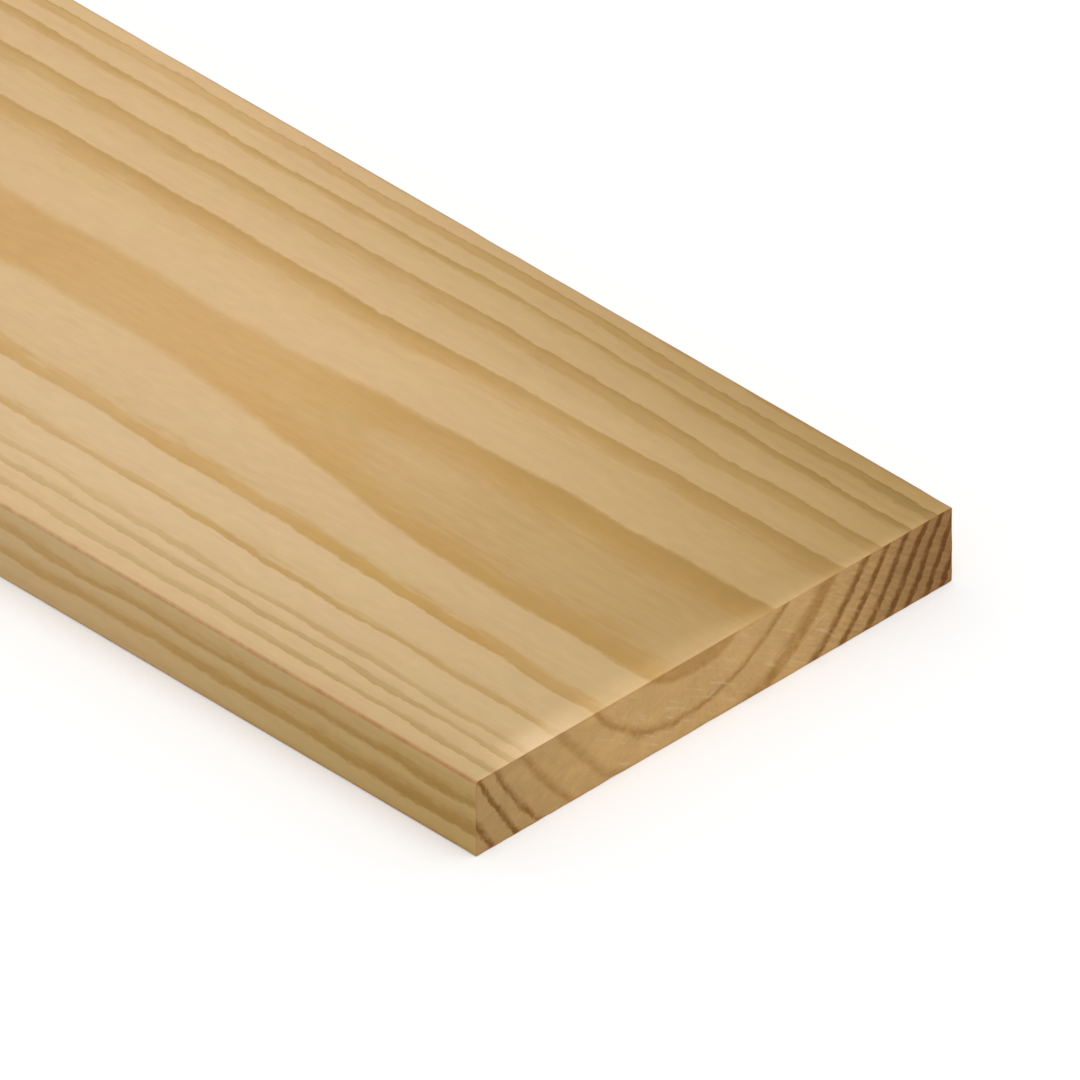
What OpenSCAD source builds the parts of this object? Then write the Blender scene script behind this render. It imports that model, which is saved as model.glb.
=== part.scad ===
// Planed softwood plank: one sawn piece, lying flat on its lower face.
// X runs along the grain, Y across the width and Z up.
// The origin is on the ground, under the middle of the plank.

/* [Board] */
// Length along the grain, from one cut end to the other
board_length = 1219; // [300:1:4880]
// Finished width, from edge to edge
board_width = 140; // [40:0.5:290]
// Finished thickness, from face to face
board_thickness = 19; // [10:0.5:50]

/* [Edges] */
// Radius of the eased arrises that run along the plank
arris_radius = 0.5; // [0.1:0.1:4]
// Radius of the broken edges around each cut end
end_edge_radius = 0.3; // [0.1:0.1:4]

/* [Hidden] */
// Sides of a full circle in the eased edges
arc_sides = 64;

// Rectangle around the origin with its corners rounded to the radius
module eased_rectangle(size, radius) {
    square([size.x - 2 * radius, size.y], center = true);
    square([size.x, size.y - 2 * radius], center = true);
    for (side_x = [-1, 1], side_y = [-1, 1])
        translate([side_x * (size.x / 2 - radius), side_y * (size.y / 2 - radius)])
            circle(r = radius, $fn = arc_sides);
}

// Planed section with its four eased arrises, run along the grain
module planed_length() {
    rotate([90, 0, 90])
        linear_extrude(height = board_length, center = true)
            eased_rectangle([board_width, board_thickness], arris_radius);
}

// Side outline, whose rounded corners break the upper and lower edges of both cut ends
module side_outline() {
    rotate([90, 0, 0])
        linear_extrude(height = board_width, center = true)
            eased_rectangle([board_length, board_thickness], end_edge_radius);
}

// Plan outline, whose rounded corners break the upright edges of both cut ends
module plan_outline() {
    linear_extrude(height = board_thickness, center = true)
        eased_rectangle([board_length, board_width], end_edge_radius);
}

// The plank: the planed length trimmed square, with every edge eased
module plank() {
    color("burlywood")
        translate([0, 0, board_thickness / 2])
            intersection() {
                planed_length();
                side_outline();
                plan_outline();
            }
}

plank();
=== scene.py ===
"""Planed softwood plank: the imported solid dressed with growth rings, planed faces and sawn ends."""
import math
from collections import namedtuple
from types import SimpleNamespace

import bmesh
import bpy
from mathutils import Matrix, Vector


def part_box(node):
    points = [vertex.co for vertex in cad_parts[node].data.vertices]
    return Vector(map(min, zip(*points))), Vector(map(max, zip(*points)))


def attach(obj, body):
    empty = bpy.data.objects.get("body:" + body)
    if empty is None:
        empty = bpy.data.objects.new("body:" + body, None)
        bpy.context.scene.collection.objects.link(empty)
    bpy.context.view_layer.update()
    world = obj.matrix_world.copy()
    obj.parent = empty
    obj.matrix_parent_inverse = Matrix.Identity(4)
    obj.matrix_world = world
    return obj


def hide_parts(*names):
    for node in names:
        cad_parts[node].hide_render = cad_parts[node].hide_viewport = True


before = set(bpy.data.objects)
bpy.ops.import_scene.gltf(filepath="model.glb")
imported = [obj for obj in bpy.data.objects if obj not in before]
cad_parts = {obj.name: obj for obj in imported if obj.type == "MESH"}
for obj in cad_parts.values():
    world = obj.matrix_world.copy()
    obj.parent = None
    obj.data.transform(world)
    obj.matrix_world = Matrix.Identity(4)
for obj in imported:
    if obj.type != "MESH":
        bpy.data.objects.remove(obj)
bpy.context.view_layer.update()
LOW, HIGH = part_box("plank")
SIZE = HIGH - LOW
MM = 0.001
X, Y, Z = range(3)

bl_info = {
    "name": "Planed Plank",
    "version": (1, 0, 0),
    "blender": (4, 5, 0),
    "location": "3D View > Sidebar > Plank",
    "description": "Models a planed softwood plank with its growth rings, and a plain stage for it",
    "category": "Add Mesh",
}

# Growth rings

# One side of a ring: its outer radius in millimetres, how dark its latewood is, the share of the ring's
# width at which the latewood starts, and how much of its colour hangs over the earlywood before that
Side = namedtuple("Side", "radius darkness start haze", defaults=(0.0,))

# A ring's side towards the near edge and its side towards the far edge
Ring = namedtuple("Ring", "near far")

# The rings as the planed faces cut them, from the heart outwards. Nothing sets the outermost ones apart.
OUTERMOST = [Side(radius, 0.8, 0.6, 0.2) for radius in (70.0, 74.0, 77.0, 81.0, 85.0)]
FACE_RINGS = (
    Ring(Side(10.0, 0.5, 0.5, 0.2), Side(10.0, 0.5, 0.5, 0.2)),
    Ring(Side(25.35, 1.0, 0.72, 0.52), Side(25.35, 1.0, 0.68, 0.52)),
    Ring(Side(34.0, 1.0, 0.64, 0.22), Side(36.7, 1.0, 0.62, 0.28)),
    Ring(Side(41.3, 0.85, 0.72, 0.18), Side(37.5, 0.1, 0.5, 0.0)),
    Ring(Side(47.5, 0.7, 0.7, 0.18), Side(44.2, 1.0, 0.52, 0.28)),
    Ring(Side(50.5, 0.95, 0.52, 0.15), Side(50.5, 1.0, 0.68, 0.22)),
    Ring(Side(54.4, 0.95, 0.6, 0.15), Side(52.3, 0.14, 0.5, 0.1)),
    Ring(Side(57.6, 0.2, 0.5, 0.1), Side(55.4, 1.0, 0.3, 0.2)),
    Ring(Side(60.7, 0.95, 0.5, 0.15), Side(59.8, 0.8, 0.55, 0.2)),
    Ring(Side(64.0, 1.0, 0.4, 0.2), Side(63.2, 0.9, 0.6, 0.2)),
    Ring(Side(67.3, 0.2, 0.5, 0.1), Side(66.5, 0.7, 0.6, 0.2)),
    *(Ring(side, side) for side in OUTERMOST),
)

# The rings as the front end cuts them, around a lower heart
END_RINGS = (
    Ring(Side(5.0, 0.1, 0.4), Side(5.0, 0.1, 0.4)),
    Ring(Side(15.3, 0.42, 0.35), Side(15.3, 0.42, 0.35)),
    Ring(Side(25.9, 0.6, 0.68), Side(24.6, 0.6, 0.66)),
    Ring(Side(33.8, 0.32, 0.55), Side(35.0, 0.48, 0.45)),
    Ring(Side(41.5, 0.42, 0.6), Side(41.9, 0.75, 0.55)),
    Ring(Side(47.2, 0.62, 0.6), Side(46.3, 0.95, 0.45)),
    Ring(Side(50.9, 0.75, 0.5), Side(50.9, 0.95, 0.45)),
    Ring(Side(56.0, 0.75, 0.58), Side(54.9, 0.95, 0.4)),
    Ring(Side(60.0, 0.75, 0.55), Side(58.4, 1.0, 0.4)),
    Ring(Side(64.0, 0.75, 0.55), Side(62.0, 0.95, 0.4)),
    Ring(Side(68.0, 0.7, 0.55), Side(65.3, 1.0, 0.4)),
    Ring(Side(72.0, 0.7, 0.55), Side(68.8, 0.9, 0.4)),
)

# The rings are ovals, and their two sides blend over this width at the heart
OVAL = 1.29
SIDE_BLEND = 9.0

# A part of the plank, in millimetres from the front end, from the near edge and down from the upper face:
# the stretches over which an effect comes in and goes out again, and its strength
Zone = namedtuple("Zone", "along_in along_out across_in across_out depth_in depth_out strength",
                  defaults=(None, None, None, None, None, None, 1.0))

# The heart of the log on the faces: its distance from the near edge and above the upper face.
# It rises and drifts behind the front end, less in some strips, and wanders further on.
HEART_ACROSS = 69.2
HEART_HEIGHT = 20.45
FIRST_RISE = Zone(along_in=(-30.0, 110.0), strength=1.2)
NEXT_RISE = Zone(along_in=(60.0, 165.0), strength=2.2)
RISE_AT_EDGE = 0.3
RISE_INSIDE = Zone(across_in=(0.0, 45.0), strength=1.0 - RISE_AT_EDGE)
DRIFT = Zone(along_in=(40.0, 125.0), across_in=(30.0, 60.0), strength=2.4)
UNDRIFTED = Zone(across_in=(88.0, 100.0), across_out=(108.0, 118.0), strength=0.9)
BULGE = Zone((10.0, 55.0), (75.0, 112.0), (38.0, 48.0), (56.0, 66.0), strength=1.5)
FURTHER_ON = Zone(along_in=(240.0, 520.0))
WANDER, WANDER_LENGTH, WANDER_SEED, WANDER_RISE = 34.0, 330.0, 34.0, 4.0
SWAY, SWAY_LENGTH, SWAY_SEED = 26.0, 290.0, 26.0

# The heart on the front end, how its rings sag and bow, and where the back end's own rings take over
END_HEART_ACROSS = 64.0
END_HEART_HEIGHT = 10.1
END_SAG = Zone(across_in=(25.0, 38.0), across_out=(44.0, 64.0), depth_in=(8.0, 17.0), strength=1.8)
END_BOW, END_BOW_DEPTH, END_BOW_CURVE = 2.2, 12.0, 0.0145
END_BOW_FAR = Zone(across_in=(62.0, 84.0))
END_BOW_NEAR = Zone(across_out=(24.0, 46.0), strength=0.65)
AT_BACK = Zone(along_in=(500.0, 700.0))
BACK_DARKNESS = 0.75

# Figures in the wood

# Cells in millimetres along, across and through the plank, detail and strength
Figure = namedtuple("Figure", "cell detail strength")
WAVE = Figure((75.0, 26.0, 16.0), 2.0, 3.6)
RIPPLE = Figure((18.0, 6.0, 6.0), 2.0, 2.3)
FRAY = Figure((2.6, 0.9, 0.9), 3.0, 1.4)
STREAKS = Figure((14.0, 1.4, 1.4), 3.0, 0.42)
WISPS = Figure((45.0, 0.9, 0.9), 3.0, 2.2)
BREAKS = Figure((11.0, 1.1, 1.1), 3.0, 0.45)
FIBRES = Figure((18.0, 0.55, 0.55), 3.0, 0.095)
MOTTLE = Figure((6.0, 2.2, 2.2), 3.0, 0.16)
PATCHES = Figure((120.0, 30.0, 20.0), 2.0, 0.1)
BLUSH = Figure((28.0, 11.0, 11.0), 2.0, 1.6)
HIGHLIGHT_BREAKS = Figure((3.0, 6.0, 6.0), 2.0, 0.8)
ARRIS_SHADE_BREAKS = Figure((2.5, 2.5, 2.5), 2.0, 0.8)
END_STRAY = Figure((40.0, 8.0, 8.0), 2.0, 1.7)
END_FRAY = Figure((10.0, 1.3, 1.3), 3.0, 1.3)
END_BREAKS = Figure((20.0, 3.4, 3.4), 3.0, 1.5)
END_PORES = Figure((4.0, 0.45, 0.45), 3.0, 0.22)
END_MOTTLE = Figure((9.0, 3.4, 2.6), 2.0, 0.26)
END_BLOTCH = Figure((40.0, 12.0, 7.0), 2.0, 0.3)
SAW_RIDGES = Figure((50.0, 2.6, 9.0), 2.0, 1.0)
DENTS = Figure((9.0, 9.0, 9.0), 2.0, 1.0)

# A figure shifted by so many cells along is another one of the same kind
OTHER_FIGURE = 5.0

# How each ring fades along the plank: the fading's length, width and strength, and its step between rings
FADE_LENGTH, FADE_WIDTH, FADE, FADE_STEP = 60.0, 90.0, 1.1, 1.1

# Detail of the broadest figures: the heart's wandering and the rings' fading
BROAD_DETAIL = 1.0

# Figures that fan out from the heart on the ends: cells to a radian, cells in millimetres outwards and along
# the plank, a shift along in cells, and detail
Fan = namedtuple("Fan", "turns outwards along shift detail")
RAYS = Fan(42.0, 4.0, 9.0, 0.0, 3.0)
FLECKS = Fan(34.0, 6.0, 9.0, 7.0, 1.0)

# Marks that slant across the ends: cosine and sine of the slant, which falls towards the far edge where the
# sine is above 0, cells in millimetres along and across it, the place of its own noise, and detail
Slant = namedtuple("Slant", "cosine sine run width seed detail")
SCRATCHES = Slant(0.85, -0.52, 6.0, 1.2, 3.0, 2.0)
SCORES = Slant(0.85, 0.52, 7.0, 1.1, 5.0, 1.0)
TEARS = Slant(0.85, 0.52, 4.0, 0.8, 8.0, 3.0)

# Bands of the planed faces

# Millimetres from the narrow edges over which the look of the wide faces takes over
EDGE_TURN = (0.15, 0.5)

# Where a band starts to end, as a share of the ring's width, and how much sooner on the narrow edges
BAND_END, EDGE_BAND_END = 0.95, 0.17

# The share of the ring's width over which a band's full colour comes in, what haze and the narrow edges add
# to it, how much sooner it starts on those edges, how far haze reaches, and how much darker the edges are
CORE_RISE, HAZE_CORE_RISE, EDGE_CORE_RISE, EDGE_CORE_LEAD = 0.13, 0.15, 0.2, 0.1
HAZE_REACH = 0.4
EDGE_DARKER = 0.25

# The heart's own band, which calms down behind the front end, fainter bands along the near edge, and the tip
# of a pale wedge in the heart's band
CALM = Zone(along_in=(80.0, 135.0))
CALM_RADIUS, CALM_LOSS = (25.6, 26.0), 0.1
FAINT = Zone(along_in=(70.0, 130.0), across_out=(12.0, 26.0), strength=0.35)
WEDGE_TIP = Zone((66.0, 92.0), (101.0, 107.0), (68.0, 72.0), (73.5, 77.0), strength=0.35)

# Darker outer part of a band: its place, its strength, how much stronger it is towards the far edge, on the
# front of the narrow edges, and at the far corner of the front end, which also gets painted shade on its
# bands
LINE_PLACE, LINE, FAR_LINE = (0.75, 0.98), 0.3, 0.35
EDGE_LINE = Zone(along_out=(0.0, 110.0), strength=0.6)
CORNER = Zone(along_out=(14.0, 52.0), across_in=(118.0, 132.0))
CORNER_LINE, CORNER_SHADE = 0.3, 0.12

# Colours of the planed faces

# Whiter pale wood near the near edge, but less at the edge itself
SAP_AT_EDGE = 0.45
SAP_INSIDE = Zone(across_in=(2.0, 20.0), strength=1.0 - SAP_AT_EDGE)
SAP_NEAR = Zone(across_out=(28.0, 72.0))

# Golden bands in the middle, duller in haze and towards the edges, and pinker ones further on
GOLDEN = Zone(across_in=(8.0, 38.0))
LESS_GOLDEN = Zone(across_in=(92.0, 112.0), strength=0.35)
HAZE_DULLER = 1.3
PEACH = Zone(along_in=(95.0, 170.0))
BLUSH_MEAN = 0.5

# Painted shade towards the far corner of the front end, more for each millimetre across, and painted shade
# on the narrow edges
FRONT = Zone(along_out=(-60.0, 150.0))
SHADE_AT_EDGE, SHADE_SLOPE = 0.4, 0.0055
FAR_SHADE = Zone(along_out=(0.0, 230.0), across_in=(85.0, 140.0), strength=0.9)
EDGE_SHADE = 0.45
EDGE_LIGHTER = Zone(along_in=(-20.0, 150.0), strength=0.42)

# Painted highlight along the front end's upper edge: a paler strip with a painted glow behind it, a brighter
# rim before it and one brighter spot.
# It narrows and fades towards the far edge.
STRIP_LENGTH, GLOW_LENGTH, STRIP_GLOW = 8.5, 18.0, 0.3
STRIP_NARROWS = Zone(across_in=(60.0, 95.0), strength=5.0)
GLOW_NARROWS = Zone(across_in=(60.0, 95.0), strength=10.0)
STRIP_INSIDE = Zone(across_in=(4.0, 11.0))
STRIP_RIM = Zone(along_out=(0.7, 1.5), strength=0.35)
STRIP_FADES = Zone(across_in=(70.0, 100.0), strength=0.35)
STRIP_ENDS = Zone(across_in=(110.0, 136.0), strength=0.6)
STRIP_LIGHT, STRIP_PEACH = 0.16, 0.09
HIGHLIGHT_SPOT = Zone(along_out=(0.0, 9.0), across_in=(11.0, 17.0), across_out=(22.0, 34.0), strength=0.4)
UPPER = Zone(depth_out=(0.2, 2.0))

# Painted shade along the arrises: how far it reaches, its strength and what the front end adds
ARRIS_SHADE_REACH, ARRIS_SHADE, FRONT_ARRIS_SHADE = (0.35, 0.9), 0.36, 0.2
END_ARRIS_SHADE_REACH, END_ARRIS_SHADE = (0.1, 0.5), 0.12

# Sawn ends

# How the rings come in and go out, as shares of their width, and how dark they get
END_RISE, END_FALL = 0.28, (0.84, 1.0)
END_DARKEST, END_CONTRAST = (0.35, 0.85), 1.5

# Rays, pale flecks among them, and pale scratches in the middle of the ends, fewer on the rings and high up
RAY_STRENGTH = 0.2
FLECK_RISE, FLECK_SHARE = (0.17, 0.3), 0.35
SCRATCH_RISE, SCORE_RISE, MARK_SHARE = (0.1, 0.26), (0.08, 0.26), 0.6
UNMARKED_RINGS = 0.5
MARKS_ABOVE = 0.35
MARKS_BELOW = Zone(depth_in=(4.0, 12.0), strength=1.0 - MARKS_ABOVE)
MARKED = Zone(across_in=(24.0, 42.0))
LESS_MARKED = Zone(across_in=(100.0, 130.0), strength=0.6)
TORN = Zone(across_in=(80.0, 120.0), strength=0.7)

# Painted shade towards the far edge, greyer wood towards the near edge, and painted shade along the edges
END_FAR_SHADE = Zone(across_in=(90.0, 142.0))
END_GREYER = Zone(across_out=(6.0, 42.0), strength=0.5)
END_EDGE_SHADE_REACH, END_EDGE_SHADE = (0.2, 0.8), 0.2

# Finish

PLANED_ROUGHNESS, BAND_SHEEN, FIBRE_ROUGHNESS, PLANED_GLOSS = 0.62, 0.12, 1.5, 0.3
SAWN_ROUGHNESS, PORE_ROUGHNESS, SAWN_GLOSS = 0.8, 0.5, 0.2
BUMP_DEPTH = 0.4 * MM

# Relief in the mesh

# How the latewood rises out of the faces, how far a face turns to count as an end, how the ends' wood and
# saw ridges share their relief, which dents show, and how far from an edge
RELIEF_RISE, RELIEF_FALL = 0.1, (0.95, 1.0)
END_TURN = (0.5, 0.8)
SOFT_SHARE, RIDGE_MEAN, MOST_SINK = 0.5, 0.5, 1.5
DENT_RISE, DENT_REACH = (0.02, 0.22), (0.2, 1.6)

# Mesh

STRAIGHT = 0.999
ON_EDGE = 0.01 * MM
EASING_SEGMENTS = 3
SMOOTH_ANGLE = math.radians(12.0)
END_NORMAL = 0.7

# Shares of the map that the faces take, and the gap between them
MAP_GAP = 0.008
MAP_STRIPS = {"top": 0.37, "bottom": 0.37, "near": 0.062, "far": 0.062, "ends": 0.085}

# The camera sees this many times as far as the point that it aims at
CLIP_REACH = 3


class BoardShape(bpy.types.PropertyGroup):
    """Sizes of the plank's edges, relief and mesh."""
    arris: bpy.props.FloatProperty(
        name="Long arris", description="Easing of the edges that run along the plank",
        default=0.5 * MM, unit="LENGTH", precision=5)
    end_arris: bpy.props.FloatProperty(
        name="End arris", description="Easing of the edges around each sawn end",
        default=0.3 * MM, unit="LENGTH", precision=5)
    cell_along: bpy.props.FloatProperty(
        name="Cell along", description="Length of a mesh cell along the grain",
        default=5.0 * MM, unit="LENGTH", precision=5)
    cell_across: bpy.props.FloatProperty(
        name="Cell across", description="Width of a mesh cell across the grain",
        default=1.25 * MM, unit="LENGTH", precision=5)
    face_relief: bpy.props.FloatProperty(
        name="Face relief", description="Depth of the soft earlywood below the latewood on the faces",
        default=0.05 * MM, unit="LENGTH", precision=5)
    end_relief: bpy.props.FloatProperty(
        name="End relief", description="Depth of the torn earlywood on the sawn ends",
        default=0.12 * MM, unit="LENGTH", precision=5)
    edge_wear: bpy.props.FloatProperty(
        name="Edge wear", description="Depth of the small dents along the arrises",
        default=0.12 * MM, unit="LENGTH", precision=5)


class WoodLook(bpy.types.PropertyGroup):
    """Colours of the wood."""
    earlywood: bpy.props.FloatVectorProperty(
        name="Earlywood", description="Pale wood of the planed faces",
        default=(0.67, 0.46, 0.225), subtype="COLOR", min=0.0, max=1.0)
    sapwood: bpy.props.FloatVectorProperty(
        name="Sapwood", description="Whiter pale wood of the planed faces towards the near edge",
        default=(0.678, 0.487, 0.257), subtype="COLOR", min=0.0, max=1.0)
    edge_wood: bpy.props.FloatVectorProperty(
        name="Edge wood", description="Pale wood of the narrow edges",
        default=(0.69, 0.487, 0.228), subtype="COLOR", min=0.0, max=1.0)
    latewood: bpy.props.FloatVectorProperty(
        name="Latewood", description="Golden bands in the middle of the planed faces",
        default=(0.572, 0.347, 0.104), subtype="COLOR", min=0.0, max=1.0)
    peach_latewood: bpy.props.FloatVectorProperty(
        name="Peach latewood", description="Pinker bands of the planed faces further from the front end",
        default=(0.588, 0.36, 0.126), subtype="COLOR", min=0.0, max=1.0)
    olive_latewood: bpy.props.FloatVectorProperty(
        name="Olive latewood", description="Duller bands towards the edges of the planed faces",
        default=(0.53, 0.362, 0.152), subtype="COLOR", min=0.0, max=1.0)
    ring_line: bpy.props.FloatVectorProperty(
        name="Ring line", description="Darker outer part of each band on the planed faces",
        default=(0.46, 0.278, 0.068), subtype="COLOR", min=0.0, max=1.0)
    # Colour of the painted shade towards the far corner of the front end
    painted_shade_tone: bpy.props.FloatVectorProperty(
        name="Painted shade tone", description="What darkens the faces towards the far corner of the front end",
        default=(0.6, 0.56, 0.36), subtype="COLOR", min=0.0, max=1.0)
    pink_tone: bpy.props.FloatVectorProperty(
        name="Pink tone", description="Faint pink of some patches of the planed faces",
        default=(1.0, 0.95, 0.97), subtype="COLOR", min=0.0, max=1.0)
    # Colour of the painted shade on the narrow edges towards the front end
    painted_edge_shade_tone: bpy.props.FloatVectorProperty(
        name="Edge shade tone", description="What darkens the narrow edges towards the front end",
        default=(0.62, 0.52, 0.08), subtype="COLOR", min=0.0, max=1.0)
    end_earlywood: bpy.props.FloatVectorProperty(
        name="End earlywood", description="Pale wood of the sawn ends",
        default=(0.615, 0.38, 0.147), subtype="COLOR", min=0.0, max=1.0)
    end_latewood: bpy.props.FloatVectorProperty(
        name="End latewood", description="Dark rings of the sawn ends",
        default=(0.295, 0.13, 0.025), subtype="COLOR", min=0.0, max=1.0)
    end_band: bpy.props.FloatVectorProperty(
        name="End band", description="Faint brown rings around the heart on the sawn ends",
        default=(0.4, 0.2, 0.048), subtype="COLOR", min=0.0, max=1.0)
    end_fleck: bpy.props.FloatVectorProperty(
        name="End fleck", description="Pale torn fibres on the sawn ends",
        default=(0.72, 0.52, 0.28), subtype="COLOR", min=0.0, max=1.0)
    # Colour of the painted shade on the sawn ends towards the far edge
    painted_end_shade_tone: bpy.props.FloatVectorProperty(
        name="End shade tone", description="What darkens the sawn ends towards the far edge",
        default=(0.53, 0.44, 0.385), subtype="COLOR", min=0.0, max=1.0)
    end_grey: bpy.props.FloatVectorProperty(
        name="End grey", description="What greys the sawn ends towards the near edge",
        default=(0.6, 0.58, 0.6), subtype="COLOR", min=0.0, max=1.0)
    # Colour of the painted shade line along the arrises
    arris_shade_colour: bpy.props.FloatVectorProperty(
        name="Arris shade", description="Reddish brown of the worn arrises",
        default=(0.4, 0.12, 0.04), subtype="COLOR", min=0.0, max=1.0)
    # Colour of the painted highlight along the upper edge of the front end
    painted_highlight: bpy.props.FloatVectorProperty(
        name="Painted highlight", description="Pale peach wood along the upper edge of the front end",
        default=(0.88, 0.64, 0.39), subtype="COLOR", min=0.0, max=1.0)


class StageLook(bpy.types.PropertyGroup):
    """Light, floor and camera."""
    floor_size: bpy.props.FloatProperty(
        name="Floor", description="Length of the square floor's sides",
        default=12.0, unit="LENGTH")
    floor_colour: bpy.props.FloatVectorProperty(
        name="Floor colour", description="Plain pale floor under the plank",
        default=(0.8, 0.8, 0.8), subtype="COLOR", min=0.0, max=1.0)
    floor_glow: bpy.props.FloatProperty(
        name="Floor glow", description="What brings the floor up to white for the camera", default=0.23)
    sky: bpy.props.FloatProperty(
        name="Sky", description="Brightness of the even light from all round", default=0.6)
    backdrop: bpy.props.FloatProperty(
        name="Backdrop", description="Brightness of the white that the camera sees all round", default=1.0)
    lamp: bpy.props.FloatProperty(
        name="Lamp", description="Light that the soft lamp adds on a level surface, beside a white sheet",
        default=0.4)
    lamp_spread: bpy.props.FloatProperty(
        name="Lamp spread", description="How wide the lamp looks from the plank, which softens its shadow",
        default=math.radians(50.0), subtype="ANGLE")
    lamp_side: bpy.props.FloatVectorProperty(
        name="Lamp side", description="Direction from the plank towards the lamp",
        default=(0.25, 0.04, 0.97), subtype="DIRECTION")
    lens: bpy.props.FloatProperty(
        name="Lens", description="Focal length, long enough for edges that stay parallel",
        default=1690.0, unit="CAMERA")
    frame_width: bpy.props.FloatProperty(
        name="Frame width", description="Width that the camera sees around the point it aims at",
        default=224.84 * MM, unit="LENGTH", precision=4)
    aim_along: bpy.props.FloatProperty(
        name="Aim along", description="Distance from the front end to the point that the camera aims at",
        default=52.21 * MM, unit="LENGTH", precision=4)
    aim_across: bpy.props.FloatProperty(
        name="Aim across", description="Distance from the near edge to the point that the camera aims at",
        default=70.55 * MM, unit="LENGTH", precision=4)
    azimuth: bpy.props.FloatProperty(
        name="Azimuth", description="Turn of the view about the upright axis, from the near edge on",
        default=math.radians(45.16), subtype="ANGLE")
    elevation: bpy.props.FloatProperty(
        name="Elevation", description="Height of the view above the level",
        default=math.radians(35.36), subtype="ANGLE")


def opaque(colour):
    """A colour of three parts as a node's colour."""
    return (*colour, 1.0)


class Value:
    """A node's output that Python arithmetic works on: each operation adds a Math node."""

    def __init__(self, graph, socket):
        self.graph = graph
        self.socket = socket

    def math(self, operation, *others):
        """Adds a Math node with this value as its first input."""
        return self.graph.calculate(operation, self, *others)

    def __add__(self, other):
        return self.graph.calculate("ADD", self, other)

    def __radd__(self, other):
        return self.graph.calculate("ADD", other, self)

    def __sub__(self, other):
        return self.graph.calculate("SUBTRACT", self, other)

    def __rsub__(self, other):
        return self.graph.calculate("SUBTRACT", other, self)

    def __mul__(self, other):
        return self.graph.calculate("MULTIPLY", self, other)

    def __rmul__(self, other):
        return self.graph.calculate("MULTIPLY", other, self)

    def __truediv__(self, other):
        return self.graph.calculate("DIVIDE", self, other)

    def __rtruediv__(self, other):
        return self.graph.calculate("DIVIDE", other, self)

    def smooth(self, low, high):
        """Rises smoothly from 0 at low to 1 at high."""
        return self.graph.add("ShaderNodeMapRange", {"interpolation_type": "SMOOTHSTEP"},
                              {"Value": self, "From Min": low, "From Max": high})

    def towards(self, other, share):
        """A value that goes from this one to another as share goes from 0 to 1."""
        return (other - self) * share + self


class Graph:
    """Adds nodes to one node tree and joins them up."""
    MIX_FACTOR, MIX_A, MIX_B, MIX_RESULT = 0, 6, 7, 2
    NOISE_MEAN = 0.5

    def __init__(self, tree):
        self.tree = tree

    def add(self, kind, settings=None, inputs=None, output=0):
        """Adds a node of a kind: its settings first, then a value or a link for each socket named."""
        node = self.tree.nodes.new(kind)
        for name, setting in (settings or {}).items():
            if name == "stops":
                self.set_stops(node.color_ramp, *setting)
            else:
                setattr(node, name, setting)
        for name, value in (inputs or {}).items():
            if isinstance(value, Value):
                self.tree.links.new(value.socket, node.inputs[name])
            else:
                node.inputs[name].default_value = value
        return Value(self, node.outputs[output]) if node.outputs else None

    @staticmethod
    def set_stops(ramp, interpolation, stops):
        """Gives a ramp its stops, as pairs of a position and a colour."""
        ramp.interpolation = interpolation
        ramp.elements[0].position, ramp.elements[1].position = stops[0][0], stops[-1][0]
        for position, _ in stops[1:-1]:
            ramp.elements.new(position)
        for element, (_, colour) in zip(ramp.elements, stops):
            element.color = opaque(colour)

    def calculate(self, operation, *values):
        """Adds a Math node."""
        return self.add("ShaderNodeMath", {"operation": operation}, dict(enumerate(values)))

    def split(self, vector):
        """The three parts of a vector."""
        parts = self.add("ShaderNodeSeparateXYZ", None, {0: vector})
        return [Value(self, socket) for socket in parts.socket.node.outputs]

    def noise(self, parts, detail):
        """Smooth noise about 0 at a place given by its three parts, in cells of the noise."""
        vector = self.add("ShaderNodeCombineXYZ", None, dict(enumerate(parts)))
        cloud = self.add("ShaderNodeTexNoise", None, {"Vector": vector, "Scale": 1.0, "Detail": detail})
        return cloud - self.NOISE_MEAN

    def ramp(self, value, stops, interpolation="LINEAR"):
        """A colour read from a value by a ramp."""
        return self.add("ShaderNodeValToRGB", {"stops": (interpolation, stops)}, {0: value})

    def mix(self, factor, first, second, blend="MIX"):
        """A colour between two, or the first blended with the second."""
        return self.add("ShaderNodeMix", {"data_type": "RGBA", "blend_type": blend, "clamp_factor": True},
                        {self.MIX_FACTOR: factor, self.MIX_A: first, self.MIX_B: second}, self.MIX_RESULT)

    def scaled(self, colour, amount):
        """A colour made lighter or darker by an amount, or a vector made longer or shorter."""
        return self.add("ShaderNodeVectorMath", {"operation": "SCALE"}, {0: colour, "Scale": amount})


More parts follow.
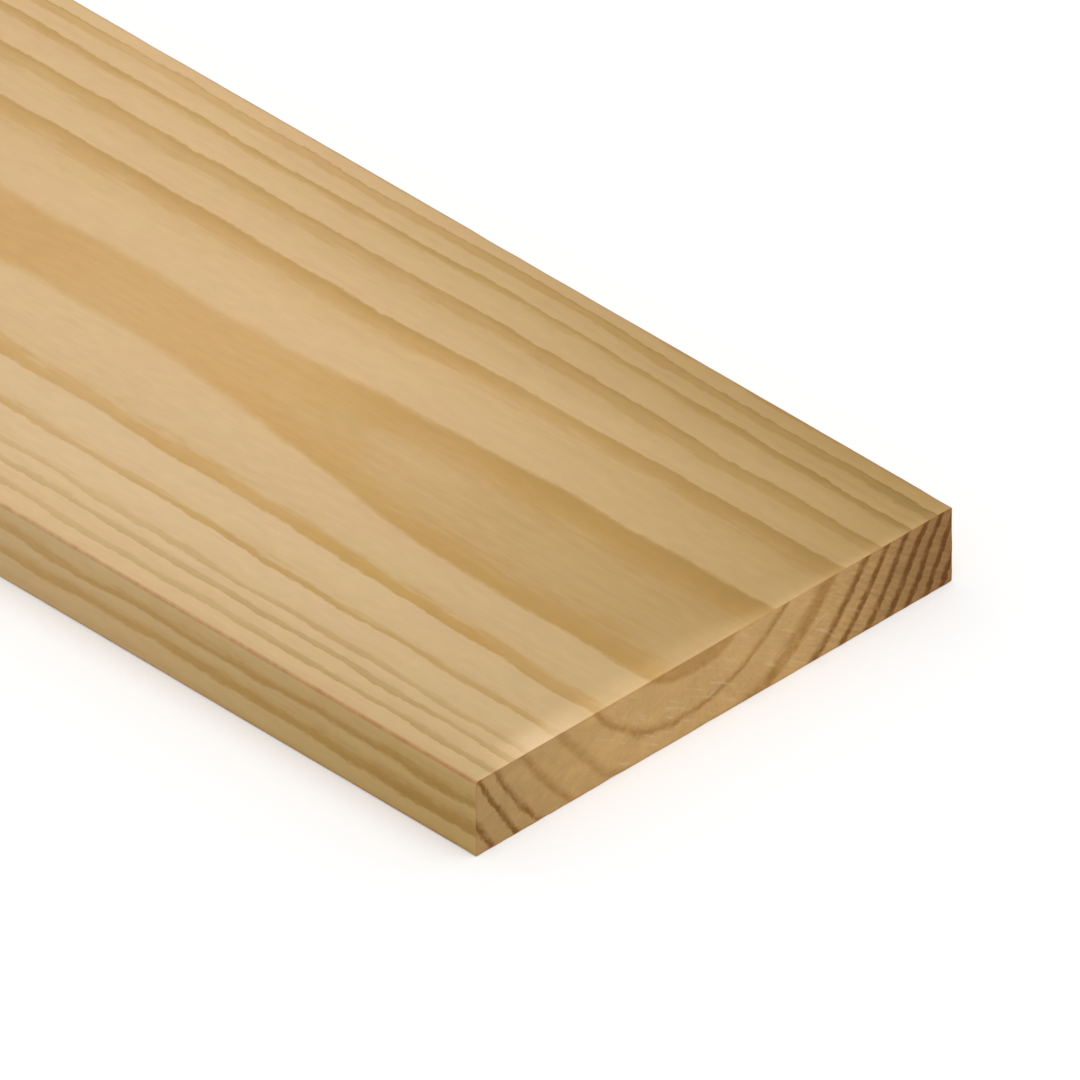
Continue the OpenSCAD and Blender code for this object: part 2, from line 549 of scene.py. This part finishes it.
class Point:
    """A place in millimetres: along from the front end, across from the near edge, down from the top."""

    def __init__(self, graph, place):
        x, y, z = graph.split(place)
        self.graph = graph
        self.along = (HIGH.x - x) / MM
        self.across = (y - LOW.y) / MM
        self.depth = (HIGH.z - z) / MM

    def parts(self):
        """The place's three parts."""
        return self.along, self.across, self.depth

    def zone(self, zone):
        """How much of a zone's strength reaches the place: none outside it, all of it well inside."""
        share = zone.strength
        for part, comes_in, goes_out in zip(self.parts(), zone[:-1:2], zone[1:-1:2]):
            if comes_in:
                share = part.smooth(*comes_in) * share
            if goes_out:
                share = (1.0 - part.smooth(*goes_out)) * share
        return share

    def figure(self, figure, shift=0.0):
        """A figure in the wood, about 0. A shift, in cells along, gives another of the same kind."""
        parts = [part / size for part, size in zip(self.parts(), figure.cell)]
        parts[0] = parts[0] + shift
        return self.graph.noise(parts, figure.detail) * figure.strength

    def slanted(self, slant):
        """Marks that slant across an end, about 0."""
        run = self.across * slant.cosine + self.depth * slant.sine
        width = self.depth * slant.cosine - self.across * slant.sine
        return self.graph.noise((run / slant.run, width / slant.width, slant.seed), slant.detail)

    def gaps(self):
        """Distances to the nearer end, the nearer long edge and the nearer wide face."""
        halves = SIZE / MM / 2
        return [half - (part - half).math("ABSOLUTE") for part, half in zip(self.parts(), halves)]

    def long_edge(self):
        """Distance over the surface to the nearest arris that runs along the plank."""
        _, second, third = self.gaps()
        return second.math("MAXIMUM", third)

    def end_edge(self):
        """Distance over the surface to the nearest edge of a sawn end."""
        first, second, third = self.gaps()
        return first.math("MAXIMUM", second.math("MINIMUM", third))


def from_heart(across, depth, heart_across, heart_height):
    """Where a place lies from the heart of the log, whose rings are wider than they are deep."""
    offset = (across - heart_across) / OVAL
    below = depth + heart_height
    return SimpleNamespace(offset=offset, below=below, far=offset.smooth(-SIDE_BLEND, SIDE_BLEND),
                           radius=(offset * offset + below * below).math("SQRT"))


def read_rings(graph, place, rings):
    """Reads which ring a place falls in, how far through that ring it is, and what its latewood is like."""
    count = len(rings)
    reach = rings[-1].near.radius

    def turns(sides):
        stops = [(side.radius / reach, [(index + 1) / count] * 3) for index, side in enumerate(sides)]
        return graph.ramp(place.radius / reach, [(0.0, (0.0, 0.0, 0.0))] + stops)

    near, far = zip(*rings)
    phase = turns(near).towards(turns(far), place.far) * count
    number = phase.math("FLOOR")

    def traits(sides):
        stops = [(index / count, side[1:]) for index, side in enumerate(sides)]
        return graph.split(graph.ramp((number + 0.5) / count, stops, "CONSTANT"))

    both_sides = zip(traits(near), traits(far))
    darkness, start, haze = (first.towards(second, place.far) for first, second in both_sides)
    return SimpleNamespace(place=place, number=number, through=phase - number,
                           darkness=darkness, start=start, haze=haze)


def face_rings(graph, point, fine=True):
    """The rings as the planed faces cut them. The heart runs above the upper face and wanders on its way."""
    along = point.along
    wander = graph.noise((along / WANDER_LENGTH, WANDER_SEED, 0.0), BROAD_DETAIL) * WANDER
    sway = graph.noise((along / SWAY_LENGTH, SWAY_SEED, 0.0), BROAD_DETAIL) * SWAY
    further = point.zone(FURTHER_ON)
    next_rise = point.zone(NEXT_RISE) * (point.zone(RISE_INSIDE) + RISE_AT_EDGE)
    height = HEART_HEIGHT + point.zone(FIRST_RISE) + next_rise + further * (wander + WANDER_RISE)
    drift = point.zone(DRIFT) * (1.0 - point.zone(UNDRIFTED))
    stray = point.figure(WAVE) + point.zone(BULGE)
    if fine:
        stray = stray + point.figure(RIPPLE) + point.figure(FRAY)
    heart_across = HEART_ACROSS + drift + further * sway
    place = from_heart(point.across + stray, point.depth, heart_across, height)
    rings = read_rings(graph, place, FACE_RINGS)
    fading_at = along / FADE_LENGTH, rings.number * FADE_STEP, point.across / FADE_WIDTH
    rings.darkness = rings.darkness * (1.0 + graph.noise(fading_at, BROAD_DETAIL) * FADE)
    return rings


def end_rings(graph, point):
    """The rings as the sawn ends cut them: the front end's own, and at the back end those of the faces."""
    low = point.depth - END_BOW_DEPTH
    bow = END_BOW - low * low * END_BOW_CURVE
    bow = bow * (point.zone(END_BOW_FAR) - point.zone(END_BOW_NEAR))
    across = point.across + bow + point.figure(END_STRAY) + point.figure(END_FRAY)
    depth = point.depth - point.zone(END_SAG)
    depth = depth + point.figure(END_STRAY, OTHER_FIGURE) + point.figure(END_FRAY, OTHER_FIGURE)
    front = read_rings(graph, from_heart(across, depth, END_HEART_ACROSS, END_HEART_HEIGHT), END_RINGS)
    back = face_rings(graph, point)
    at_back = point.zone(AT_BACK)
    return SimpleNamespace(place=front.place, through=front.through.towards(back.through, at_back),
                           start=front.start.towards(back.start, at_back),
                           darkness=front.darkness.towards(back.darkness * BACK_DARKNESS, at_back))


def new_material(name):
    """An empty material with its node graph, and the place of the point being shaded."""
    material = bpy.data.materials.new(name)
    material.use_nodes = True
    material.node_tree.nodes.clear()
    graph = Graph(material.node_tree)
    return material, graph, graph.add("ShaderNodeTexCoord", output="Object")


def surface(graph, colour, roughness, height, gloss):
    """Joins a finish to the material's output, with its fine relief as bump."""
    normal = graph.add("ShaderNodeBump", None, {"Strength": 1.0, "Distance": BUMP_DEPTH, "Height": height})
    shader = graph.add("ShaderNodeBsdfPrincipled", None,
                       {"Base Color": colour, "Roughness": roughness, "Normal": normal,
                        "Specular IOR Level": gloss})
    graph.add("ShaderNodeOutputMaterial", None, {"Surface": shader})


def face_bands(point, rings, on_edge):
    """Bands that start in streaks and end sharply. The narrow edges show softer lines than the faces."""
    kept = 1.0 - rings.through.smooth(BAND_END - on_edge * EDGE_BAND_END, 1.0)
    calm = point.zone(CALM) * (1.0 - rings.place.radius.smooth(*CALM_RADIUS))
    faint = point.zone(FAINT) * (1.0 - on_edge)
    broken = 1.0 + point.figure(BREAKS) + on_edge * EDGE_DARKER
    darkness = rings.darkness * (1.0 - calm * CALM_LOSS) * (1.0 - faint) * kept * broken

    start = rings.start + point.figure(STREAKS) * (1.0 - rings.haze)
    full = start + CORE_RISE + rings.haze * HAZE_CORE_RISE + on_edge * EDGE_CORE_RISE
    core = rings.through.smooth(start - on_edge * EDGE_CORE_LEAD, full)
    wisps = 1.0 + point.figure(WISPS) * (1.0 - rings.haze)
    haze = rings.through.smooth(start - HAZE_REACH, start) * rings.haze * wisps
    band = haze.towards(1.0, core) * darkness * (1.0 - point.zone(WEDGE_TIP))

    # Painted shade on the bands at the far corner of the front end
    corner = band * point.zone(CORNER) * (1.0 - on_edge)
    line = core * rings.through.smooth(*LINE_PLACE) * darkness * (LINE + rings.place.far * FAR_LINE)
    line = line * (1.0 - calm) + band * on_edge * point.zone(EDGE_LINE) + corner * CORNER_LINE
    return SimpleNamespace(core=core, band=band, line=line, corner=corner)


def painted_highlight_strip(point):
    """The painted highlight strip along the front end's upper edge."""
    strip = 1.0 - point.along.smooth(0.0, STRIP_LENGTH - point.zone(STRIP_NARROWS))
    glow = 1.0 - point.along.smooth(0.0, GLOW_LENGTH - point.zone(GLOW_NARROWS))
    strip = (strip + glow * STRIP_GLOW) * point.zone(STRIP_INSIDE) + point.zone(STRIP_RIM)
    return strip * (1.0 - point.zone(STRIP_FADES)) * (1.0 - point.zone(STRIP_ENDS)) * point.zone(UPPER)


def planed_grain(look):
    """Planed faces and edges: pale earlywood, golden bands with a darker outer part, fine fibres."""
    material, graph, place = new_material("planed_grain")
    point = Point(graph, place)
    rings = face_rings(graph, point)
    on_edge = 1.0 - point.gaps()[Y].smooth(*EDGE_TURN)
    bands = face_bands(point, rings, on_edge)

    # Pale wood and bands, each in the tone of its place
    whiter = (SAP_AT_EDGE + point.zone(SAP_INSIDE)) * point.zone(SAP_NEAR)
    pale = graph.mix(whiter, opaque(look.earlywood), opaque(look.sapwood))
    pale = graph.mix(on_edge, pale, opaque(look.edge_wood))
    golden = point.zone(GOLDEN) * (1.0 - point.zone(LESS_GOLDEN))
    golden = golden * (1.0 - rings.haze * (1.0 - bands.core) * HAZE_DULLER)
    gold = graph.mix(point.zone(PEACH), opaque(look.latewood), opaque(look.peach_latewood))
    tan = graph.mix(golden.math("MAXIMUM", on_edge), opaque(look.olive_latewood), gold)
    wood = graph.mix(bands.band, pale, tan)
    wood = graph.mix(bands.line, wood, opaque(look.ring_line))

    # Fibres, mottling, broad patches, painted shade on the bands at the far corner of the front end, and a
    # faint blush
    fibres = point.figure(FIBRES)
    light = 1.0 + fibres + point.figure(MOTTLE) + point.figure(PATCHES) - bands.corner * CORNER_SHADE
    wood = graph.scaled(wood, light)
    wood = graph.mix(BLUSH_MEAN + point.figure(BLUSH), wood, opaque(look.pink_tone), "MULTIPLY")

    # Painted shade towards the far corner of the front end, and painted shade on the narrow edges
    front = point.zone(FRONT)
    # Painted shade, stronger towards the far corner of the front end
    shade = front * (point.across * SHADE_SLOPE + SHADE_AT_EDGE)
    shade = shade.math("MAXIMUM", point.zone(FAR_SHADE)) * (1.0 - on_edge)
    wood = graph.mix(shade, wood, opaque(look.painted_shade_tone), "MULTIPLY")
    # Painted shade on the narrow edges, stronger towards the front end
    edge_shade = on_edge * (EDGE_SHADE - point.zone(EDGE_LIGHTER))
    wood = graph.mix(edge_shade, wood, opaque(look.painted_edge_shade_tone), "MULTIPLY")

    # Painted highlight along the front end's upper edge, with a peach tint and one brighter spot
    strip = painted_highlight_strip(point)
    highlighted = (strip * STRIP_PEACH + point.zone(HIGHLIGHT_SPOT)) * (1.0 + point.figure(HIGHLIGHT_BREAKS))
    wood = graph.scaled(wood, 1.0 + strip * STRIP_LIGHT)
    wood = graph.mix(highlighted * point.zone(UPPER), wood, opaque(look.painted_highlight))

    # Painted shade along the arrises
    arris_shaded = ARRIS_SHADE + front * FRONT_ARRIS_SHADE + point.figure(ARRIS_SHADE_BREAKS)
    arris_shaded = arris_shaded * (1.0 - point.long_edge().smooth(*ARRIS_SHADE_REACH))
    end_arris_shaded = (1.0 - point.end_edge().smooth(*END_ARRIS_SHADE_REACH)) * END_ARRIS_SHADE
    wood = graph.mix(arris_shaded.math("MAXIMUM", end_arris_shaded), wood, opaque(look.arris_shade_colour))

    roughness = PLANED_ROUGHNESS - bands.band * BAND_SHEEN + fibres * FIBRE_ROUGHNESS
    surface(graph, wood, roughness, fibres, PLANED_GLOSS)
    return material


def fan_out(graph, place, along, fan):
    """A figure that fans out from the heart on an end, about 0."""
    turn = place.offset.math("ARCTAN2", place.below)
    parts = turn * fan.turns, place.radius / fan.outwards, along / fan.along + fan.shift
    return graph.noise(parts, fan.detail)


def sawn_end_grain(look):
    """Sawn ends: dark rings cut across, fine rays that fan out from the heart, torn fibres and pores."""
    material, graph, place = new_material("sawn_end_grain")
    point = Point(graph, place)
    rings = end_rings(graph, point)

    rise = rings.through.smooth(rings.start, rings.start + END_RISE)
    dark = rise * (1.0 - rings.through.smooth(*END_FALL)) * (1.0 + point.figure(END_BREAKS))
    tan = graph.mix(rings.darkness.smooth(*END_DARKEST), opaque(look.end_band), opaque(look.end_latewood))
    darkness = (rings.darkness * END_CONTRAST).math("MINIMUM", 1.0)
    wood = graph.mix(dark * darkness, opaque(look.end_earlywood), tan)

    # Rays fan out from the heart, some of them pale flecks, and the saw left pale scratches and torn fibres
    rays = fan_out(graph, rings.place, point.along, RAYS) * RAY_STRENGTH
    flecks = fan_out(graph, rings.place, point.along, FLECKS).smooth(*FLECK_RISE)
    scores = point.slanted(SCORES).smooth(*SCORE_RISE)
    marks = point.slanted(SCRATCHES).smooth(*SCRATCH_RISE).math("MAXIMUM", scores)
    marks = marks * (1.0 - dark * UNMARKED_RINGS) * (MARKS_ABOVE + point.zone(MARKS_BELOW))
    marks = marks * point.zone(MARKED) * (1.0 - point.zone(LESS_MARKED))
    torn = point.slanted(TEARS) * point.zone(TORN)
    pores = point.figure(END_PORES)
    light = 1.0 + rays + torn + pores + point.figure(END_MOTTLE) + point.figure(END_BLOTCH)
    wood = graph.scaled(wood, light)
    wood = graph.mix(flecks * FLECK_SHARE + marks * MARK_SHARE, wood, opaque(look.end_fleck))

    # Painted shade towards the far edge, a greyer tone towards the near edge, and painted shade along the
    # edges
    wood = graph.mix(point.zone(END_FAR_SHADE), wood, opaque(look.painted_end_shade_tone), "MULTIPLY")
    wood = graph.mix(point.zone(END_GREYER), wood, opaque(look.end_grey), "MULTIPLY")
    # Painted shade along the end's edges
    worn = (1.0 - point.end_edge().smooth(*END_EDGE_SHADE_REACH)) * END_EDGE_SHADE
    wood = graph.mix(worn, wood, opaque(look.arris_shade_colour))

    surface(graph, wood, SAWN_ROUGHNESS + pores * PORE_ROUGHNESS, rays + pores, SAWN_GLOSS)
    return material


def relief_modifier(board, shape):
    """Sinks the soft earlywood a little below the latewood, roughens the ends and dents the arrises."""
    tree = bpy.data.node_groups.new("plank_relief", "GeometryNodeTree")
    tree.interface.new_socket("Geometry", in_out="INPUT", socket_type="NodeSocketGeometry")
    tree.interface.new_socket("Geometry", in_out="OUTPUT", socket_type="NodeSocketGeometry")
    graph = Graph(tree)
    whole = graph.add("NodeGroupInput")
    normal = graph.add("GeometryNodeInputNormal")
    point = Point(graph, graph.add("GeometryNodeInputPosition"))
    rings = face_rings(graph, point, fine=False)
    band = rings.through.smooth(rings.start, rings.start + RELIEF_RISE)
    soft = 1.0 - band * (1.0 - rings.through.smooth(*RELIEF_FALL))

    on_end = graph.split(normal)[X].math("ABSOLUTE").smooth(*END_TURN)
    face_sink = soft * shape.face_relief
    end_sink = (soft * SOFT_SHARE + point.figure(SAW_RIDGES) + RIDGE_MEAN) * (shape.end_relief / MOST_SINK)
    to_edge = point.long_edge().math("MINIMUM", point.end_edge())
    worn = (1.0 - to_edge.smooth(*DENT_REACH)) * point.figure(DENTS).smooth(*DENT_RISE) * shape.edge_wear
    sink = face_sink.towards(end_sink, on_end) + worn
    moved = graph.scaled(normal, sink * -1.0)
    sunk = graph.add("GeometryNodeSetPosition", None, {"Geometry": whole, "Offset": moved})
    graph.add("NodeGroupOutput", None, {0: sunk})
    modifier = board.modifiers.new("relief", "NODES")
    modifier.node_group = tree
    bpy.ops.object.modifier_apply(modifier=modifier.name)


def select_edges(mesh, axis, where=None):
    """Selects the edges along an axis, in edit mode, or those of them whose middle passes a test."""
    cage = bmesh.from_edit_mesh(mesh)
    for edge in cage.edges:
        run = edge.verts[1].co - edge.verts[0].co
        middle = (edge.verts[0].co + edge.verts[1].co) / 2
        straight = abs(run[axis]) > STRAIGHT * run.length
        edge.select_set(straight and (where is None or where(middle)))
    cage.select_flush_mode()
    bmesh.update_edit_mesh(mesh)


def cut_along(mesh, axis, cell):
    """Cuts every edge along an axis into equal cells, in two rounds that each stay within 100 cuts."""
    cells = math.ceil(SIZE[axis] / cell)
    first = math.ceil(math.sqrt(cells))
    for parts in (first, math.ceil(cells / first)):
        select_edges(mesh, axis)
        if parts > 1:
            bpy.ops.mesh.subdivide(number_cuts=parts - 1)


def on_outer_edge(axes):
    """A test for points that lie on the block's outside in two directions."""
    def test(point):
        return all(min(point[axis] - LOW[axis], HIGH[axis] - point[axis]) < ON_EDGE for axis in axes)
    return test


class PLANK_OT_board(bpy.types.Operator):
    """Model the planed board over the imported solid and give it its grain"""
    bl_idname = "plank.board"
    bl_label = "Planed Board"

    def execute(self, context):
        shape = context.scene.plank_shape
        bpy.ops.object.select_all(action="DESELECT")
        bpy.ops.mesh.primitive_cube_add(size=1.0, location=(LOW + HIGH) / 2, scale=SIZE)
        bpy.ops.object.transform_apply(location=True, rotation=True, scale=True)
        board = context.active_object
        board.name = board.data.name = "planed_board"

        bpy.ops.object.mode_set(mode="EDIT")
        bpy.ops.mesh.select_mode(type="EDGE")
        for axis, cell in ((X, shape.cell_along), (Y, shape.cell_across), (Z, shape.cell_across)):
            cut_along(board.data, axis, cell)
        end_weight = shape.end_arris / shape.arris
        for axis, others, weight in ((X, (Y, Z), 1.0), (Y, (X, Z), end_weight), (Z, (X, Y), end_weight)):
            select_edges(board.data, axis, on_outer_edge(others))
            bpy.ops.transform.edge_bevelweight(value=weight)
        bpy.ops.object.mode_set(mode="OBJECT")

        easing = board.modifiers.new("eased_arrises", "BEVEL")
        easing.limit_method = "WEIGHT"
        easing.width = shape.arris
        easing.segments = EASING_SEGMENTS
        bpy.ops.object.modifier_apply(modifier=easing.name)
        relief_modifier(board, shape)
        bpy.ops.object.shade_smooth_by_angle(angle=SMOOTH_ANGLE)

        look = context.scene.plank_wood
        board.data.materials.clear()
        board.data.materials.append(planed_grain(look))
        board.data.materials.append(sawn_end_grain(look))
        for face in board.data.polygons:
            face.material_index = int(abs(face.normal.x) > END_NORMAL)
        lay_out_map(board.data)

        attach(board, "root")
        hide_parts("plank")
        return {"FINISHED"}


def lay_out_map(mesh):
    """Lays the faces out flat for baking: the long faces as strips along the map, the ends side by side."""
    strips = {}
    level = MAP_GAP
    for name, height in MAP_STRIPS.items():
        strips[name] = (level, height)
        level += height + MAP_GAP
    map_layer = mesh.uv_layers.new(name="OFBake")

    def share(point, axis):
        return (point[axis] - LOW[axis]) / SIZE[axis]

    for face in mesh.polygons:
        normal = face.normal
        axis = max((X, Y, Z), key=lambda part: abs(normal[part]))
        for loop in face.loop_indices:
            point = mesh.vertices[mesh.loops[loop].vertex_index].co
            if axis == Z:
                base, height = strips["top" if normal.z > 0 else "bottom"]
                u, v = share(point, X), share(point, Y)
            elif axis == Y:
                base, height = strips["near" if normal.y < 0 else "far"]
                u, v = share(point, X), share(point, Z)
            else:
                base, height = strips["ends"]
                start = 0.5 + MAP_GAP if normal.x > 0 else 0.0
                u, v = start + share(point, Y) * (0.5 - MAP_GAP), share(point, Z)
            map_layer.data[loop].uv = (MAP_GAP + u * (1.0 - 2 * MAP_GAP), base + v * height)


class PLANK_OT_stage(bpy.types.Operator):
    """Set up the floor, the light and the camera"""
    bl_idname = "plank.stage"
    bl_label = "Stage"

    def execute(self, context):
        stage = context.scene.plank_stage
        lay_floor(stage)
        set_light(context.scene, stage)
        set_camera(context.scene, stage)
        context.scene.view_settings.view_transform = "Standard"
        return {"FINISHED"}


def lay_floor(stage):
    """A plain white floor that keeps the plank's shadow."""
    bpy.ops.object.select_all(action="DESELECT")
    bpy.ops.mesh.primitive_plane_add(size=stage.floor_size, location=(0.0, 0.0, LOW.z))
    floor = bpy.context.active_object
    floor.name = "floor"
    material, graph, _ = new_material("white_floor")
    matt = graph.add("ShaderNodeBsdfDiffuse", None, {"Color": opaque(stage.floor_colour)})
    glow = graph.add("ShaderNodeEmission", None, {"Strength": stage.floor_glow})
    lit = graph.add("ShaderNodeAddShader", None, {0: matt, 1: glow})
    to_camera = graph.add("ShaderNodeLightPath", output="Is Camera Ray")
    floor_shader = graph.add("ShaderNodeMixShader", None, {0: to_camera, 1: matt, 2: lit})
    graph.add("ShaderNodeOutputMaterial", None, {"Surface": floor_shader})
    floor.data.materials.append(material)


def set_light(scene, stage):
    """Even light from all round, which looks white itself, and one broad soft lamp above the front end."""
    world = bpy.data.worlds.new("studio")
    world.use_nodes = True
    world.node_tree.nodes.clear()
    graph = Graph(world.node_tree)
    path = graph.add("ShaderNodeLightPath").socket.node.outputs
    seen = sum((Value(graph, path[name]) for name in ("Is Glossy Ray", "Is Transmission Ray")),
               Value(graph, path["Is Camera Ray"])).math("MINIMUM", 1.0)
    white = opaque((1.0, 1.0, 1.0))
    light, backdrop = (graph.add("ShaderNodeBackground", None, {"Color": white, "Strength": strength})
                       for strength in (stage.sky, stage.backdrop))
    sky = graph.add("ShaderNodeMixShader", None, {0: seen, 1: light, 2: backdrop})
    graph.add("ShaderNodeOutputWorld", None, {"Surface": sky})
    scene.world = world

    towards_lamp = Vector(stage.lamp_side).normalized()
    bpy.ops.object.light_add(type="SUN", location=towards_lamp * stage.floor_size,
                             rotation=towards_lamp.to_track_quat("Z", "Y").to_euler())
    lamp = bpy.context.active_object
    lamp.name = "soft_lamp"
    lamp.data.energy = stage.lamp * math.pi / towards_lamp.z
    lamp.data.angle = stage.lamp_spread


def set_camera(scene, stage):
    """The view: straight at a point of the upper face, from so far off that edges stay parallel."""
    aim = Vector((HIGH.x - stage.aim_along, LOW.y + stage.aim_across, HIGH.z))
    level = math.cos(stage.elevation)
    back = Vector((math.sin(stage.azimuth) * level, -math.cos(stage.azimuth) * level,
                   math.sin(stage.elevation)))
    bpy.ops.object.camera_add()
    camera = bpy.context.active_object
    camera.name = "photo_view"
    camera.data.lens = stage.lens
    distance = stage.frame_width * stage.lens / camera.data.sensor_width
    camera.location = aim + back * distance
    camera.rotation_euler = (-back).to_track_quat("-Z", "Y").to_euler()
    camera.data.clip_end = distance * CLIP_REACH
    scene.camera = camera


class PLANK_PT_panel(bpy.types.Panel):
    """Lists the plank's sizes and colours and the stage's settings"""
    bl_idname = "PLANK_PT_panel"
    bl_label = "Planed Plank"
    bl_space_type = "VIEW_3D"
    bl_region_type = "UI"
    bl_category = "Plank"

    def draw(self, context):
        scene = context.scene
        for group, operator in ((scene.plank_shape, None), (scene.plank_wood, PLANK_OT_board.bl_idname),
                                (scene.plank_stage, PLANK_OT_stage.bl_idname)):
            for name in group.__annotations__:
                self.layout.prop(group, name)
            if operator:
                self.layout.operator(operator)


CLASSES = (BoardShape, WoodLook, StageLook, PLANK_OT_board, PLANK_OT_stage, PLANK_PT_panel)


def register():
    """Registers the classes and hangs the settings on the scene."""
    for kind in CLASSES:
        bpy.utils.register_class(kind)
    bpy.types.Scene.plank_shape = bpy.props.PointerProperty(type=BoardShape)
    bpy.types.Scene.plank_wood = bpy.props.PointerProperty(type=WoodLook)
    bpy.types.Scene.plank_stage = bpy.props.PointerProperty(type=StageLook)


def unregister():
    """Takes the settings and the classes away again."""
    del bpy.types.Scene.plank_shape
    del bpy.types.Scene.plank_wood
    del bpy.types.Scene.plank_stage
    for kind in reversed(CLASSES):
        bpy.utils.unregister_class(kind)


def main():
    """Builds the plank and its stage."""
    register()
    bpy.ops.plank.board()
    bpy.ops.plank.stage()


if __name__ == "__main__":
    main()
